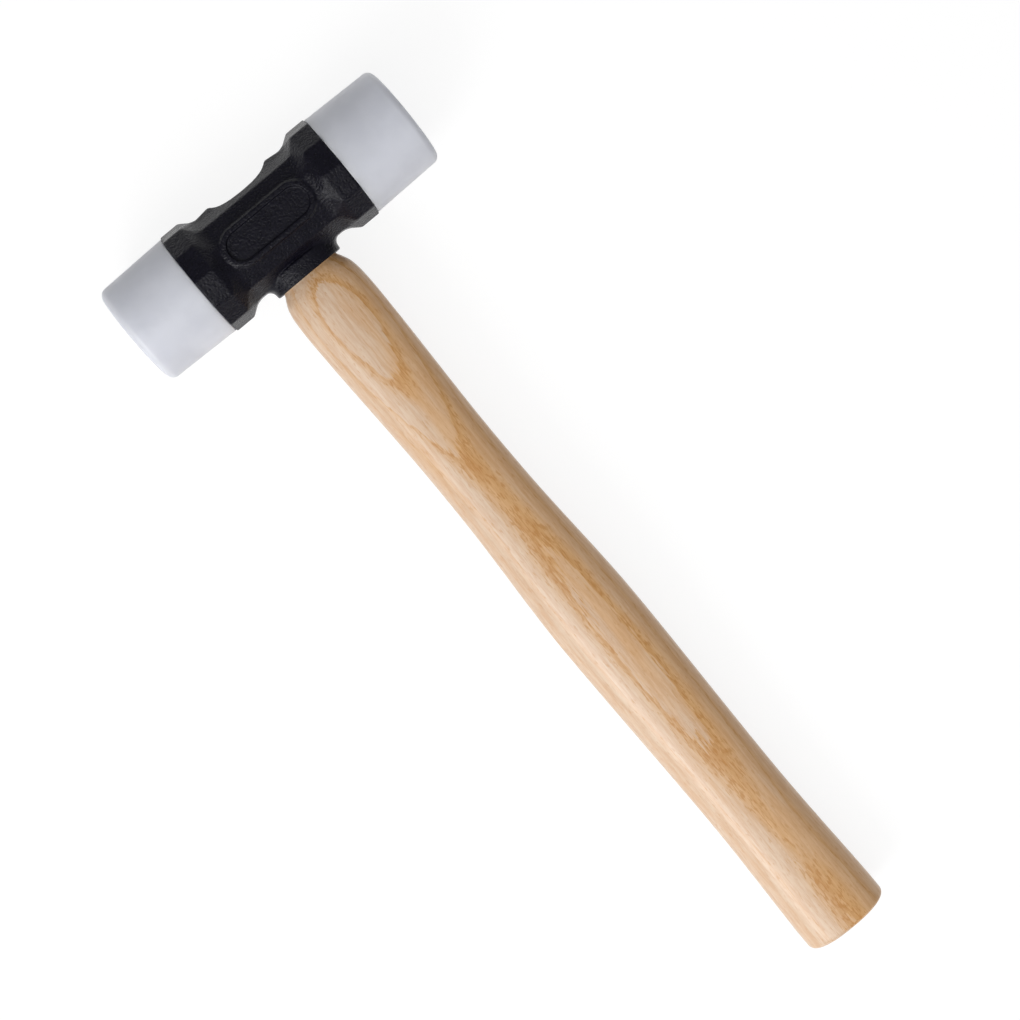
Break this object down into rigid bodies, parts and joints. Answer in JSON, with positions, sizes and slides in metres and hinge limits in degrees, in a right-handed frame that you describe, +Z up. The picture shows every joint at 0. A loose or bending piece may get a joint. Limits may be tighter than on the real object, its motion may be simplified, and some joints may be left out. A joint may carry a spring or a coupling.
{
  "type": "mallet",
  "caption": "Two-faced mallet: faceted black cast iron head with screw-in white nylon striking faces, wedged on an oval ash handle, for blows that must not mark the work.",
  "frame": {"origin": "middle of the mallet's bounding box, at the level of the surface it lies on", "axes": "+X along the head to the right striking face, +Y up the handle to the head, +Z up, out of the badge side"},
  "size_m": [0.1054, 0.2996, 0.0361],
  "materials": {
    "casting": "black paint, satin, over fine cast grain",
    "nylon": "satin, slightly translucent",
    "ash": "clear satin lacquer",
    "hardwood": "bare, sawn flush",
    "steel": "plain mild steel"
  },
  "bodies": {
    "mallet": {"head_casting": "casting", "handle": "ash", "wood_wedge": "hardwood", "left_steel_wedge": "steel", "right_steel_wedge": "steel"},
    "left_face": {"left_face": "nylon"},
    "right_face": {"right_face": "nylon"}
  },
  "joints": [
    {"name": "left_face_unscrew", "type": "slide", "parent": "mallet", "child": "left_face", "axis": [-1, 0, 0], "range_m": [0, 0.014]},
    {"name": "right_face_unscrew", "type": "slide", "parent": "mallet", "child": "right_face", "axis": [1, 0, 0], "range_m": [0, 0.014]}
  ]
}
